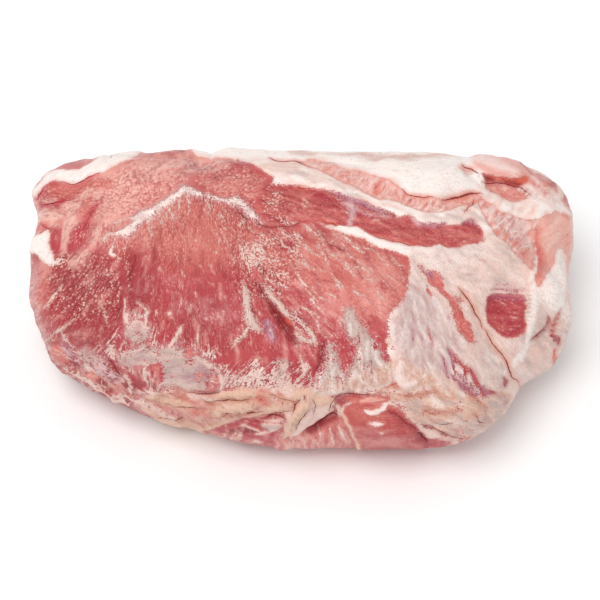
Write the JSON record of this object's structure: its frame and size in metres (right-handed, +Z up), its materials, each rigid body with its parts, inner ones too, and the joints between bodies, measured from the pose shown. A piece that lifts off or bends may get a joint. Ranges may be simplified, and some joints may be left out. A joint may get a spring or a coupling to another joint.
{
  "type": "pork neck",
  "caption": "Boneless raw pork neck: one block of meat with rounded sides, muscle seams, fat rolls and cuts as relief, and a flat underside.",
  "frame": {"origin": "on the resting face, under the middle of the block's box", "axes": "+X along the muscles, the block's longest extent; -Y is the front edge that the picture shows; +Z up, the block's shortest extent"},
  "size_m": [0.2746, 0.1562, 0.0954],
  "materials": {
    "raw_pork": null
  },
  "bodies": {
    "root": {"pork_neck": "raw_pork"}
  },
  "joints": []
}
